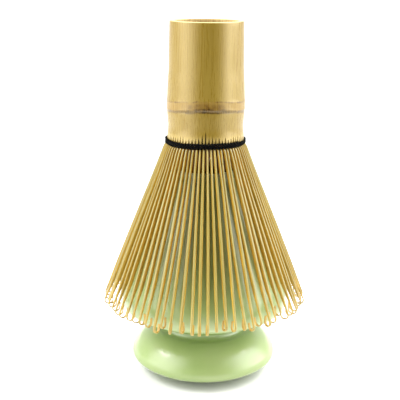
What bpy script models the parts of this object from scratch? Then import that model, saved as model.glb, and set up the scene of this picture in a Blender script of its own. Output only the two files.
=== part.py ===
"""A bamboo tea whisk seated on its glazed ceramic holder.

The whisk is one length of bamboo. Its lower end is split into 72 outer and 72 inner tines, which a
black thread holds apart just below the handle. The inner tines hang in the holder's well and the
outer tines stand round the holder, their tips curled in to rest on its belly. The whisk lifts
straight up off the holder, and the outer tines give outwards about the thread, in twelve groups.

Metres, +Z up. The origin is the middle of the holder's foot, on the surface it stands on.
"""

import math

import bmesh
import bpy

MM = 0.001
TURN = 2 * math.pi

# Heights above the foot and radii from the axis.
TOTAL_HEIGHT = 127.0 * MM
THREAD_HEIGHT = 85.6 * MM
NODE_HEIGHT = 98.8 * MM
RIM_HEIGHT = 75.9 * MM

# Handle: a tube of bamboo, closed by the wall inside its one node.
HANDLE_TOP_RADIUS = 12.75 * MM
HANDLE_SHOULDER_RADIUS = 13.5 * MM
NODE_RADIUS = 13.9 * MM
NODE_GROOVE_RADIUS = 13.7 * MM
NODE_HALF_HEIGHT = 1.5 * MM
WAIST_RADIUS = 13.25 * MM
WAIST_HEIGHT = 90.5 * MM
HANDLE_FOOT_RADIUS = 13.6 * MM
HANDLE_FOOT_HEIGHT = 87.3 * MM
HANDLE_WALL = 1.7 * MM
NODE_WALL = 2.2 * MM
END_ROUNDING = 0.35 * MM

# Outer tines.
TINE_COUNT = 72
GROUP_COUNT = 12
TINES_IN_GROUP = TINE_COUNT // GROUP_COUNT
ROOT_INNER_RADIUS = 12.6 * MM
ROOT_OUTER_RADIUS = 13.6 * MM
ROOT_TOP = 87.0 * MM
ROOT_BOTTOM = 84.4 * MM
ROOT_WIDTH = 0.84 * MM
TINE_WIDTH = 1.1 * MM
TIP_WIDTH = 0.7 * MM
FLARE_HEIGHT = 81.6 * MM
FLARE_RADIUS = 15.3 * MM
CURL_RADIUS = 2.1 * MM
CURL_CENTRE_RADIUS = 34.35 * MM
CURL_CENTRE_HEIGHT = 28.7 * MM
CURL_START = math.radians(22)
CURL_END = math.radians(-185)
CURL_STEPS = 4
FLARE_THICKNESS = 1.0 * MM
SHAFT_THICKNESS = 1.5 * MM
SHAVED_THICKNESS = 0.5 * MM
TIP_THICKNESS = 0.35 * MM
SHAFT_BOW = 0.3 * MM
SHAVING_START = 0.68
SHAVING_END = 0.86

# Inner tines.
INNER_ROOT_INNER_RADIUS = 11.35 * MM
INNER_ROOT_OUTER_RADIUS = 12.2 * MM
INNER_ROOT_WIDTH = 0.6 * MM
INNER_TIP_WIDTH = 0.24 * MM
INNER_TIP_RADIUS = 4.6 * MM
INNER_TIP_HEIGHT = 38.0 * MM
INNER_THICKNESS = 0.4 * MM
INNER_STATIONS = (1.0, 0.8, 0.45, 0.0)

# Thread: three turns of one cotton cord.
THREAD_DIAMETER = 0.55 * MM
THREAD_COIL_RADIUS = 14.12 * MM
THREAD_TURNS = 3
THREAD_PITCH = 0.64 * MM
THREAD_POINTS_PER_TURN = 32

# Holder: a hollow bell on a spreading base, of one wall thickness.
RIM_RADIUS = 11.7 * MM
LIP_ROUNDING = 1.4 * MM
BELL_SLOPE = 0.407
BELL_SHOULDER_HEIGHT = 34.0 * MM
BELLY_RADIUS = 30.6 * MM
BELLY_HEIGHT = 27.0 * MM
BELLY_ROUNDING = 3.6 * MM
NECK_RADIUS = 15.0 * MM
NECK_HEIGHT = 17.0 * MM
BASE_RADIUS = 26.4 * MM
BASE_HEIGHT = 5.6 * MM
BASE_LOWER_WIDTH = 23.7 * MM
SHOULDER_RADIUS = 24.0 * MM
SHOULDER_HEIGHT = 10.8 * MM
SHOULDER_LEAN = math.radians(38)
CREST_RADIUS = 17.2 * MM
CREST_HEIGHT = 15.1 * MM
FOOT_OUTER_RADIUS = 17.0 * MM
FOOT_INNER_RADIUS = 13.5 * MM
FOOT_RECESS = 1.3 * MM
HOLDER_WALL = 2.7 * MM

HANDLE_SIDES = 36
HOLDER_SIDES = 40


def clear_scene():
    for thing in list(bpy.data.objects):
        bpy.data.objects.remove(thing, do_unlink=True)


def linear(channel):
    """One sRGB channel, 0 to 255, as scene-linear light."""
    value = channel / 255
    if value <= 0.04045:
        return value / 12.92
    return ((value + 0.055) / 1.055) ** 2.4


def material(name, srgb, roughness, metallic=0.0):
    made = bpy.data.materials.new(name)
    made.use_nodes = True
    shader = made.node_tree.nodes["Principled BSDF"]
    shader.inputs["Base Color"].default_value = [linear(channel) for channel in srgb] + [1.0]
    shader.inputs["Roughness"].default_value = roughness
    shader.inputs["Metallic"].default_value = metallic
    return made


def handle_bamboo():
    return material("handle_bamboo", (208, 182, 112), 0.38)


def tine_bamboo():
    return material("tine_bamboo", (212, 190, 122), 0.5)


def inner_bamboo():
    return material("inner_bamboo", (178, 146, 84), 0.55)


def black_cotton():
    return material("black_cotton", (20, 20, 18), 0.85)


def celadon_glaze():
    return material("celadon_glaze", (176, 205, 132), 0.12)


def arc(centre, radii, start, end, steps):
    """Points of a quarter or part ellipse, angles in radians from +radius towards +Z."""
    points = []
    for step in range(steps + 1):
        angle = start + (end - start) * step / steps
        radius = centre[0] + radii[0] * math.cos(angle)
        height = centre[1] + radii[1] * math.sin(angle)
        points.append((radius, height))
    return points


def curve(start, start_pull, end_pull, end, steps):
    """Points of a cubic Bezier curve in the radius-height plane."""
    points = []
    for step in range(steps + 1):
        t = step / steps
        weights = ((1 - t) ** 3, 3 * t * (1 - t) ** 2, 3 * t * t * (1 - t), t ** 3)
        corners = (start, start_pull, end_pull, end)
        radius = sum(weight * corner[0] for weight, corner in zip(weights, corners))
        height = sum(weight * corner[1] for weight, corner in zip(weights, corners))
        points.append((radius, height))
    return points


def add_object(name, mesh, surface, parent=None):
    if not mesh.materials:
        mesh.materials.append(surface)
    thing = bpy.data.objects.new(name, mesh)
    bpy.context.scene.collection.objects.link(thing)
    thing.parent = parent
    return thing


def finished_mesh(name, bm, sharp_angle):
    """The mesh of a bmesh, its faces turned outwards and its round sides shaded smooth."""
    bmesh.ops.recalc_face_normals(bm, faces=bm.faces)
    mesh = bpy.data.meshes.new(name)
    bm.to_mesh(mesh)
    bm.free()
    mesh.shade_smooth()
    mesh.set_sharp_from_angle(angle=math.radians(sharp_angle))
    return mesh


def turned_mesh(name, profile, sides):
    """A solid turned about Z from an outline that starts and ends on the axis."""
    bm = bmesh.new()
    corners = [bm.verts.new((radius, 0, height)) for radius, height in profile]
    edges = [bm.edges.new(pair) for pair in zip(corners, corners[1:])]
    bmesh.ops.spin(
        bm, geom=corners + edges, cent=(0, 0, 0), axis=(0, 0, 1), angle=TURN, steps=sides, use_merge=True
    )
    bmesh.ops.remove_doubles(bm, verts=bm.verts, dist=0.01 * MM)
    return finished_mesh(name, bm, 35)


def holder_outside():
    """The outline of the holder from the axis under its foot up its outside to the lip."""
    foot_angle = -math.acos((FOOT_OUTER_RADIUS - BASE_RADIUS + BASE_LOWER_WIDTH) / BASE_LOWER_WIDTH)
    bell_height = RIM_HEIGHT - LIP_ROUNDING - BELL_SHOULDER_HEIGHT
    bell_radius = RIM_RADIUS + LIP_ROUNDING + BELL_SLOPE * bell_height
    belly_centre = (BELLY_RADIUS - BELLY_ROUNDING, BELLY_HEIGHT)
    underside = arc(belly_centre, (BELLY_ROUNDING, BELLY_ROUNDING), 0, math.radians(-65), 4)
    shoulder = (SHOULDER_RADIUS, SHOULDER_HEIGHT)
    rise = (-math.sin(SHOULDER_LEAN), math.cos(SHOULDER_LEAN))
    below_shoulder = (shoulder[0] - 2.2 * MM * rise[0], shoulder[1] - 2.2 * MM * rise[1])
    above_shoulder = (shoulder[0] + 3 * MM * rise[0], shoulder[1] + 3 * MM * rise[1])

    outline = [(0, FOOT_RECESS), (FOOT_INNER_RADIUS - FOOT_RECESS, FOOT_RECESS), (FOOT_INNER_RADIUS, 0)]
    outline += [(FOOT_OUTER_RADIUS, 0)]
    outline += arc(
        (BASE_RADIUS - BASE_LOWER_WIDTH, BASE_HEIGHT), (BASE_LOWER_WIDTH, BASE_HEIGHT), foot_angle, 0, 4
    )
    outline += curve(
        (BASE_RADIUS, BASE_HEIGHT), (BASE_RADIUS, BASE_HEIGHT + 2 * MM), below_shoulder, shoulder, 3
    )[1:]
    outline += curve(
        shoulder, above_shoulder, (CREST_RADIUS + 1.6 * MM, CREST_HEIGHT), (CREST_RADIUS, CREST_HEIGHT), 3
    )[1:]
    outline += [(NECK_RADIUS + 0.4 * MM, (CREST_HEIGHT + NECK_HEIGHT) / 2), (NECK_RADIUS, NECK_HEIGHT)]
    outline += curve(
        (NECK_RADIUS, NECK_HEIGHT),
        (NECK_RADIUS + 0.5 * MM, NECK_HEIGHT + 3 * MM),
        (underside[-1][0] - 4 * MM, underside[-1][1] - 2 * MM),
        underside[-1],
        4,
    )[1:-1]
    outline += underside[::-1]
    outline += curve(
        underside[0],
        (BELLY_RADIUS, BELLY_HEIGHT + 3 * MM),
        (bell_radius + 2 * BELL_SLOPE * MM, BELL_SHOULDER_HEIGHT - 2 * MM),
        (bell_radius, BELL_SHOULDER_HEIGHT),
        3,
    )[1:]
    outline += arc(
        (RIM_RADIUS, RIM_HEIGHT - LIP_ROUNDING), (LIP_ROUNDING, LIP_ROUNDING), 0, math.pi, 6
    )
    return outline


def holder_inside():
    """The outline of the holder's hollow from under the lip down to the axis on its floor."""
    bell_height = RIM_HEIGHT - LIP_ROUNDING - BELL_SHOULDER_HEIGHT
    bell_radius = RIM_RADIUS - LIP_ROUNDING + BELL_SLOPE * bell_height
    belly_radius = BELLY_RADIUS - HOLDER_WALL
    neck_radius = NECK_RADIUS - HOLDER_WALL
    base_radius = BASE_RADIUS - HOLDER_WALL
    floor = FOOT_RECESS + HOLDER_WALL
    outline = [(bell_radius, BELL_SHOULDER_HEIGHT)]
    outline += curve(
        (belly_radius, BELLY_HEIGHT + 1 * MM),
        (belly_radius, BELLY_HEIGHT - 2.5 * MM),
        (neck_radius, NECK_HEIGHT + 9 * MM),
        (neck_radius, NECK_HEIGHT),
        5,
    )
    outline += curve(
        (neck_radius, NECK_HEIGHT - 3 * MM),
        (neck_radius + 5 * MM, NECK_HEIGHT - 4.5 * MM),
        (base_radius - 2.3 * MM, BASE_HEIGHT + 4 * MM),
        (base_radius - 0.5 * MM, BASE_HEIGHT + 1 * MM),
        4,
    )
    outline += [(base_radius - 4 * MM, floor + 0.6 * MM), (FOOT_INNER_RADIUS, floor), (0, floor)]
    return outline


def make_holder():
    mesh = turned_mesh("whisk_holder", holder_outside() + holder_inside(), HOLDER_SIDES)
    return add_object("whisk_holder", mesh, celadon_glaze())


def node_ridge(centre_height):
    """One of the two swellings of the bamboo's node, bottom to top."""
    half = NODE_HALF_HEIGHT / 2
    swell = NODE_RADIUS - NODE_GROOVE_RADIUS
    return arc((NODE_GROOVE_RADIUS, centre_height), (swell, half), -math.pi / 2, math.pi / 2, 2)


def make_handle(whisk):
    under_node = NODE_HEIGHT - NODE_WALL / 2
    over_node = NODE_HEIGHT + NODE_WALL / 2
    inner_foot = HANDLE_FOOT_RADIUS - HANDLE_WALL
    inner_top = HANDLE_TOP_RADIUS - HANDLE_WALL
    outline = [(0, under_node), (WAIST_RADIUS - 2 * HANDLE_WALL, under_node)]
    outline += [(WAIST_RADIUS - HANDLE_WALL, under_node - HANDLE_WALL)]
    outline += [(inner_foot, HANDLE_FOOT_HEIGHT)]
    outline += curve(
        (HANDLE_FOOT_RADIUS, HANDLE_FOOT_HEIGHT),
        (WAIST_RADIUS, WAIST_HEIGHT - 1 * MM),
        (WAIST_RADIUS, WAIST_HEIGHT + 2 * MM),
        (HANDLE_SHOULDER_RADIUS, NODE_HEIGHT - 2 * NODE_HALF_HEIGHT),
        4,
    )
    outline += node_ridge(NODE_HEIGHT - NODE_HALF_HEIGHT)
    outline += node_ridge(NODE_HEIGHT + NODE_HALF_HEIGHT)
    outline += curve(
        (HANDLE_SHOULDER_RADIUS, NODE_HEIGHT + 3 * NODE_HALF_HEIGHT),
        (HANDLE_SHOULDER_RADIUS - 0.3 * MM, NODE_HEIGHT + 10 * MM),
        (HANDLE_TOP_RADIUS + 0.1 * MM, TOTAL_HEIGHT - 8 * MM),
        (HANDLE_TOP_RADIUS, TOTAL_HEIGHT - END_ROUNDING),
        4,
    )
    outline += [(HANDLE_TOP_RADIUS - END_ROUNDING, TOTAL_HEIGHT)]
    outline += [(inner_top + END_ROUNDING, TOTAL_HEIGHT), (inner_top, TOTAL_HEIGHT - END_ROUNDING)]
    outline += [(inner_top, over_node + HANDLE_WALL), (inner_top - HANDLE_WALL, over_node), (0, over_node)]
    mesh = turned_mesh("bamboo_handle", outline, HANDLE_SIDES)
    return add_object("bamboo_handle", mesh, handle_bamboo(), whisk)


def shaft_station(share, facing, width, thickness):
    """A section of an outer tine, a share of the way from its flare to its curl. It thickens inwards."""
    curl_radius = CURL_CENTRE_RADIUS + CURL_RADIUS * math.cos(CURL_START)
    curl_height = CURL_CENTRE_HEIGHT + CURL_RADIUS * math.sin(CURL_START)
    radius = FLARE_RADIUS + (curl_radius - FLARE_RADIUS) * share + SHAFT_BOW * math.sin(math.pi * share)
    height = FLARE_HEIGHT + (curl_height - FLARE_HEIGHT) * share
    inwards = (thickness - SHAVED_THICKNESS) / 2
    middle = (radius - inwards * math.cos(facing), height - inwards * math.sin(facing))
    return (middle, facing, width, thickness)


def outer_stations():
    """Sections of an outer tine below its root: middle point, direction out of its face, width and thickness.

    The shaft is as thick as the bamboo's wall and is shaved thin from the inside above its curl.
    """
    stations = [
        shaft_station(0, math.radians(26), ROOT_WIDTH, FLARE_THICKNESS),
        shaft_station(SHAVING_START, CURL_START, TINE_WIDTH, SHAFT_THICKNESS),
        shaft_station(SHAVING_END, CURL_START, TINE_WIDTH, SHAVED_THICKNESS),
    ]
    points = arc(
        (CURL_CENTRE_RADIUS, CURL_CENTRE_HEIGHT), (CURL_RADIUS, CURL_RADIUS), CURL_START, CURL_END, CURL_STEPS
    )
    for step, point in enumerate(points):
        share = step / CURL_STEPS
        angle = CURL_START + (CURL_END - CURL_START) * share
        width = TINE_WIDTH + (TIP_WIDTH - TINE_WIDTH) * min(1, 0.5 + share)
        thickness = SHAVED_THICKNESS + (TIP_THICKNESS - SHAVED_THICKNESS) * share
        stations.append((point, angle, width, thickness))
    return stations


def inner_stations():
    """Sections of an inner tine below its root, which draws in towards the axis along a parabola."""
    root_radius = (INNER_ROOT_INNER_RADIUS + INNER_ROOT_OUTER_RADIUS) / 2
    length = ROOT_BOTTOM - INNER_TIP_HEIGHT
    spread = root_radius - INNER_TIP_RADIUS
    stations = []
    for share in INNER_STATIONS[1:]:
        point = (INNER_TIP_RADIUS + spread * share ** 2, INNER_TIP_HEIGHT + length * share)
        lean = math.atan2(2 * spread * share, length)
        width = INNER_TIP_WIDTH + (INNER_ROOT_WIDTH - INNER_TIP_WIDTH) * share
        stations.append((point, -lean, width, INNER_THICKNESS))
    return stations


def around(radius, height, angle):
    return (radius * math.cos(angle), radius * math.sin(angle), height)


def root_section(bm, radii, height, angle):
    """The two corners, inner and outer, of the root band at one angle round the axis."""
    return [bm.verts.new(around(radius, height, angle)) for radius in radii]


def tine_section(bm, station, angle):
    """Four corners of a tine's section, in the order inner near, inner far, outer far, outer near."""
    (radius, height), facing, width, thickness = station
    corners = []
    for out, side in ((-1, -1), (-1, 1), (1, 1), (1, -1)):
        r = radius + out * thickness / 2 * math.cos(facing)
        z = height + out * thickness / 2 * math.sin(facing)
        offset = side * width / 2
        x = r * math.cos(angle) - offset * math.sin(angle)
        y = r * math.sin(angle) + offset * math.cos(angle)
        corners.append(bm.verts.new((x, y, z)))
    return corners


def comb_mesh(name, angles, radii, width, stations, closed):
    """A band of bamboo round the axis, with one tine drawn down from it at each angle."""
    bm = bmesh.new()
    half = width / (radii[0] + radii[1])
    edges = [angle + side * half for angle in angles for side in (-1, 1)]
    top = [root_section(bm, radii, ROOT_TOP, edge) for edge in edges]
    bottom = [root_section(bm, radii, ROOT_BOTTOM, edge) for edge in edges]
    cells = len(edges) if closed else len(edges) - 1
    for near in range(cells):
        far = (near + 1) % len(edges)
        bm.faces.new((top[near][0], top[near][1], top[far][1], top[far][0]))
        bm.faces.new((top[near][0], top[far][0], bottom[far][0], bottom[near][0]))
        bm.faces.new((top[near][1], bottom[near][1], bottom[far][1], top[far][1]))
        if near % 2:
            bm.faces.new((bottom[near][0], bottom[far][0], bottom[far][1], bottom[near][1]))
    if not closed:
        for end in (0, -1):
            bm.faces.new((top[end][0], top[end][1], bottom[end][1], bottom[end][0]))
    for index, angle in enumerate(angles):
        near, far = bottom[2 * index], bottom[2 * index + 1]
        section = [near[0], far[0], far[1], near[1]]
        for station in stations:
            below = tine_section(bm, station, angle)
            for corner in range(4):
                following = (corner + 1) % 4
                bm.faces.new((section[corner], section[following], below[following], below[corner]))
            section = below
        bm.faces.new(section)
    return finished_mesh(name, bm, 30)


def make_outer_tines(whisk):
    """Twelve groups of outer tines, each turning about the thread's height where it leaves the handle."""
    step = TURN / TINE_COUNT
    angles = [(index - (TINES_IN_GROUP - 1) / 2) * step for index in range(TINES_IN_GROUP)]
    hinge_radius = (ROOT_INNER_RADIUS + ROOT_OUTER_RADIUS) / 2
    mesh = comb_mesh(
        "outer_tines", angles, (ROOT_INNER_RADIUS, ROOT_OUTER_RADIUS), ROOT_WIDTH, outer_stations(), False
    )
    for corner in mesh.vertices:
        corner.co.x -= hinge_radius
        corner.co.z -= THREAD_HEIGHT
    surface = tine_bamboo()
    for group in range(GROUP_COUNT):
        angle = group * TURN / GROUP_COUNT
        tines = add_object(f"outer_tines_{group + 1:02d}", mesh, surface, whisk)
        tines.location = around(hinge_radius, THREAD_HEIGHT, angle)
        tines.rotation_euler = (0, 0, angle)


def make_inner_tines(whisk):
    angles = [index * TURN / TINE_COUNT for index in range(TINE_COUNT)]
    radii = (INNER_ROOT_INNER_RADIUS, INNER_ROOT_OUTER_RADIUS)
    mesh = comb_mesh("inner_tines", angles, radii, INNER_ROOT_WIDTH, inner_stations(), True)
    return add_object("inner_tines", mesh, inner_bamboo(), whisk)


def make_thread(whisk):
    """One cord wound three times round the tines, each turn a little above the last."""
    data = bpy.data.curves.new("binding_thread", "CURVE")
    data.dimensions = "3D"
    data.bevel_depth = THREAD_DIAMETER / 2
    data.bevel_resolution = 1
    data.use_fill_caps = True
    data.materials.append(black_cotton())
    count = THREAD_TURNS * THREAD_POINTS_PER_TURN
    line = data.splines.new("POLY")
    line.points.add(count)
    lowest = THREAD_HEIGHT - THREAD_PITCH * THREAD_TURNS / 2
    for index, point in enumerate(line.points):
        turns = index / THREAD_POINTS_PER_TURN
        height = lowest + THREAD_PITCH * turns
        point.co = (*around(THREAD_COIL_RADIUS, height, TURN * turns), 1)
    thread = bpy.data.objects.new("binding_thread", data)
    bpy.context.scene.collection.objects.link(thread)
    thread.parent = whisk
    return thread


def main():
    clear_scene()
    make_holder()
    whisk = bpy.data.objects.new("whisk_axis", None)
    bpy.context.scene.collection.objects.link(whisk)
    make_handle(whisk)
    make_thread(whisk)
    make_inner_tines(whisk)
    make_outer_tines(whisk)


main()
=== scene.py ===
"""The looks of a bamboo tea whisk on its glazed holder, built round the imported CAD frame.

Lengths are millimetres until add_piece() turns them into metres; the camera and the studio are in
metres. The frame gives the sizes: each piece here fills the place of the CAD node that it stands for.
"""

import math

import bmesh
import bpy
import numpy as np
from mathutils import Matrix, Vector


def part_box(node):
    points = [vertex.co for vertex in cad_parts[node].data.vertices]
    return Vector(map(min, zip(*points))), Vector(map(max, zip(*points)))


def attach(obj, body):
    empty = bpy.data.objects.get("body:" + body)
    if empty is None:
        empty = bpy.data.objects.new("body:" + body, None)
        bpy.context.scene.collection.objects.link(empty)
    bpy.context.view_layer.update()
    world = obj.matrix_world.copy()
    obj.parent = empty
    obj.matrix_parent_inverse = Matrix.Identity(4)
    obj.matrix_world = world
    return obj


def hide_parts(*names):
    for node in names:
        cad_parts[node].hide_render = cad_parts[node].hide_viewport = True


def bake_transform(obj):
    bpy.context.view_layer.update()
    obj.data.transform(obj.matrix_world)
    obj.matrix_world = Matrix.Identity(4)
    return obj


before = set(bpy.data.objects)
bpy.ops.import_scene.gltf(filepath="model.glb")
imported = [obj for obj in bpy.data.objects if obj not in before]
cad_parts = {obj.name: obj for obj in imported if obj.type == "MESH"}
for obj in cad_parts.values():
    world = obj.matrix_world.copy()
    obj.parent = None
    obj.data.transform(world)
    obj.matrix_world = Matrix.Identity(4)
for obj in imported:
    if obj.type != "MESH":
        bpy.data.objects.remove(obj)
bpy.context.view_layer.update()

MM = 0.001
TURN = 2 * math.pi


def span(node):
    """The lowest and highest corners of a CAD node, in millimetres."""
    low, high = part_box(node)
    return np.array(low) / MM, np.array(high) / MM


HOLDER_HIGH = span("whisk_holder")[1]
HANDLE_HIGH = span("bamboo_handle")[1]
THREAD_LOW, THREAD_HIGH = span("binding_thread")
INNER_LOW = span("inner_tines")[0]
TINES_LOW, TINES_HIGH = span("outer_tines_01")

# Tines.
TINE_COUNT = 72
GROUP_COUNT = 12
TINES_IN_GROUP = TINE_COUNT // GROUP_COUNT
TINE_STEP = TURN / TINE_COUNT
ROOT_RADIUS = 13.1
ROOT_TOP = 86.4
ROOT_BOTTOM = 85.6
THREAD_HEIGHT = (THREAD_LOW[2] + THREAD_HIGH[2]) / 2
FLARE_TOP = THREAD_HEIGHT - 0.7
FLARE_BOTTOM = 80
FLARE_STEP = 0.28
FLARE_BOW = 0.75
SHAFT_TOP = 78
CURL_RADIUS = 1.6
CURL_START = math.radians(22)
TIP_REACH = TINES_HIGH[0] / math.cos(TINE_STEP / 2) - 0.25
CURL_CENTRE_RADIUS = TIP_REACH - CURL_RADIUS
CURL_CENTRE_HEIGHT = TINES_LOW[2] + CURL_RADIUS + 0.2
CURL_SIZES = 0.82, 1.1
CURL_SWEEP = 175, 215
LEG_LENGTH = 1.2, 2.8
SHAFT_BOW = 0.3
DRIFT = 0.44
GREATEST_DRIFT = 0.9
TIP_LEAN = 8
GREATEST_LEAN = 20
TINE_SIZES = 0.88, 1.1
INNER_ROOT_RADIUS = 11.8
INNER_TIP_RADIUS = 4.6
INNER_BEND_TOP = 84.4
RANDOM_SEED = 72

# Shares of a tine's length, where 1 is the start of its curl and 2 its end, and the sizes there.
SHAFT_THICKNESS = (0, 0.1, 0.3, 0.82, 0.94, 1), (1.0, 1.4, 1.5, 1.5, 0.7, 0.42)
CURL_THICKNESS = (1, 1.2, 2), (0.42, 0.36, 0.26)
TINE_WIDTH = (0, 0.1, 0.45, 0.78, 1, 1.5, 2), (0.62, 0.7, 1.02, 1.04, 0.86, 0.94, 0.9)

# Handle.
HANDLE_TOP = HANDLE_HIGH[2]
HANDLE_WALL = 1.7
END_ROUNDING = 0.4
HANDLE_PROFILE = [
    (86, 13.6), (88.4, 13.45), (90.5, 13.25), (92.7, 13.35), (95.5, 13.6), (99, 13.72),
    (102.5, 13.55), (106.5, 13.35), (110, 13.12), (117, 12.97), (124, 12.8), (128, 12.7),
]
NODE_HEIGHT = 98.8
NODE_SPREAD = 1.35
NODE_WALL = 2.2
UPPER_RIDGE = 0.06
LOWER_RIDGE = 0.07
GROOVE_DEPTH = 0.05
UPPER_SCAR = NODE_HEIGHT + 1.3
LOWER_SCAR = NODE_HEIGHT - 2.0
SCRATCH = NODE_HEIGHT - 1.3
STAIN = NODE_HEIGHT - 0.9
TEETH_BOTTOM = 86.1
TEETH_ZONE = 90.6
SLIT_TOPS = 87.7, 89.0
LONG_SLIT = 90.3
LONG_SLIT_SIDE = 89.6
SLIT_EXTRA = 0.6
SLIT_WIDTH = 0.72
COLUMNS_PER_TINE = 4

# Thread.
THREAD_DIAMETER = 0.6
THREAD_RADIUS = THREAD_HIGH[0] - THREAD_DIAMETER / 2
THREAD_TURNS = 3.9
THREAD_PITCH = (THREAD_HIGH[2] - THREAD_LOW[2] - THREAD_DIAMETER - 0.1) / THREAD_TURNS
THREAD_WEAVE = 0.2
THREAD_SCALLOP = 0.15
PLY_COUNT = 2
PLY_LAY = 1.5
PLY_OFFSET = 0.235 * THREAD_DIAMETER
PLY_RADIUS = 0.29 * THREAD_DIAMETER
PLY_SIDES = 8

# Holder.
RIM_HEIGHT = HOLDER_HIGH[2]
BELLY_RADIUS = HOLDER_HIGH[0]
RIM_RADIUS = 11.7
LIP_ROUNDING = 1.4
BELL_SLOPE = 0.407
BELL_SHOULDER_HEIGHT = 34.0
# Heights over which the holder's cone takes on its painted shade.
BELL_SHADE_HEIGHTS = 31, 52
BELLY_HEIGHT = 27.0
BELLY_ROUNDING = 3.6
BELLY_UNDERSIDE = -1.134
NECK_RADIUS = 15.0
NECK_HEIGHT = 17.0
BASE_RADIUS = 26.4
BASE_HEIGHT = 5.6
SHOULDER_RADIUS = 24.0
SHOULDER_HEIGHT = 10.8
SHOULDER_LEAN = math.radians(38)
CREST_RADIUS = 17.2
CREST_HEIGHT = 15.1
BASE_LOWER_WIDTH = 23.7
FOOT_OUTER_RADIUS = 17.0
FOOT_INNER_RADIUS = 13.5
FOOT_RECESS = 1.3
HOLDER_WALL = 2.7
HOLDER_SIDES = 160

# Camera, in metres and degrees, with its lens in millimetres.
CAMERA_PLACE = (-0.00172, -0.2916, 0.1426)
CAMERA_PITCH = 15.2
CAMERA_ROLL = 0.55
CAMERA_LENS = 75.2
CAMERA_SENSOR = 36

# Studio, in metres. Azimuths are to the right of the camera's side; heights are sines of elevation.
FLOOR_REACH = 6.0
FLOOR_FRONT = 0.2
FLOOR_LEVEL = -0.00002
FLOOR_SHADE = 226
DIM_LIGHT = 0.04
WALL_LIGHT = 5.1
RIGHT_GAIN = 0.12
BACK_LIGHT = 1.05
TOP_LIGHT = 1.2
STUDIO_AXIS = math.radians(8)
WALL_STARTS = math.radians(24), math.radians(76)
WALL_ENDS = math.radians(94), math.radians(116)
TOP_STARTS = 0.84, 0.98
SOFTBOX_SIZE = 0.24, 0.4
SOFTBOX_AIM = 0, 0, 0.06
LEFT_PLACE = -0.5, -0.04, 0.66
LEFT_POWER = 4.2
RIGHT_PLACE = 0.45, 0.08, 0.7
RIGHT_POWER = 4.8


def linear(srgb):
    """An sRGB colour, 0 to 255, as scene-linear light with full alpha."""
    values = np.array(srgb) / 255
    light = np.where(values <= 0.04045, values / 12.92, ((values + 0.055) / 1.055) ** 2.4)
    return (*[float(channel) for channel in light], 1.0)


class Nodes:
    """A node tree that is written one call per node."""

    def __init__(self, tree):
        self.tree = tree

    def add(self, kind, inputs, **settings):
        """A new node, with its settings made and each input set to a value or joined to a socket."""
        made = self.tree.nodes.new(kind)
        for name, value in settings.items():
            setattr(made, name, value)
        self.fill(made, inputs)
        return made

    def fill(self, node, inputs):
        """Sets each input of a node to a value, or joins it to a socket."""
        for key, value in inputs.items():
            if isinstance(value, bpy.types.NodeSocket):
                self.tree.links.new(value, node.inputs[key])
            else:
                node.inputs[key].default_value = value

    def maths(self, operation, first, second=0.0, clamp=False):
        made = self.add("ShaderNodeMath", {0: first, 1: second}, operation=operation, use_clamp=clamp)
        return made.outputs[0]

    def range(self, value, low, high, to_low=0.0, to_high=1.0):
        """value from low..high to to_low..to_high, smoothly and held at the ends."""
        inputs = {"Value": value, "From Min": low, "From Max": high, "To Min": to_low, "To Max": to_high}
        made = self.add("ShaderNodeMapRange", inputs, interpolation_type="SMOOTHSTEP")
        return made.outputs["Result"]


class Shader(Nodes):
    """A material, as the nodes that feed its surface."""

    def __init__(self, name):
        self.material = bpy.data.materials.new(name)
        self.material.use_nodes = True
        super().__init__(self.material.node_tree)
        self.surface = self.tree.nodes["Principled BSDF"]

    def set(self, **inputs):
        self.fill(self.surface, {name.replace("_", " "): value for name, value in inputs.items()})

    def place(self, stretch=(1, 1, 1)):
        """Where a point of the piece is, in millimetres, each way stretched by a factor."""
        here = self.add("ShaderNodeTexCoord", {}).outputs["Object"]
        scale = tuple(factor / MM for factor in stretch)
        return self.add("ShaderNodeVectorMath", {0: here, 1: scale}, operation="MULTIPLY").outputs[0]

    def attribute(self, name):
        return self.add("ShaderNodeAttribute", {}, attribute_name=name).outputs["Fac"]

    def stretched(self, vector, stretch):
        return self.add("ShaderNodeVectorMath", {0: vector, 1: stretch}, operation="MULTIPLY").outputs[0]

    def noise(self, vector, scale, detail=3.0, roughness=0.5, distortion=0.0):
        inputs = {"Vector": vector, "Scale": scale, "Detail": detail}
        inputs.update({"Roughness": roughness, "Distortion": distortion})
        return self.add("ShaderNodeTexNoise", inputs).outputs["Fac"]

    def band(self, value, centre, half_width, softness):
        """1 where value is within half_width of centre, falling to 0 over softness."""
        away = self.maths("ABSOLUTE", self.maths("SUBTRACT", value, centre))
        return self.range(away, half_width, half_width + softness, 1.0, 0.0)

    def mix(self, share, first, second):
        """Colour first, with a share of colour second over it."""
        return self.add("ShaderNodeMix", {0: share, 6: first, 7: second}, data_type="RGBA").outputs[2]

    def ramp(self, value, stops):
        made = self.add("ShaderNodeValToRGB", {"Fac": value})
        elements = made.color_ramp.elements
        while len(elements) < len(stops):
            elements.new(0.5)
        for element, (position, colour) in zip(elements, stops):
            element.position = position
            element.color = colour
        return made.outputs["Color"]

    def bump(self, height, strength, distance, below=None):
        """A normal raised by height over the normal below, with the distance in millimetres."""
        inputs = {"Height": height, "Strength": strength, "Distance": distance * MM}
        if below is not None:
            inputs["Normal"] = below
        return self.add("ShaderNodeBump", inputs).outputs["Normal"]


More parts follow.
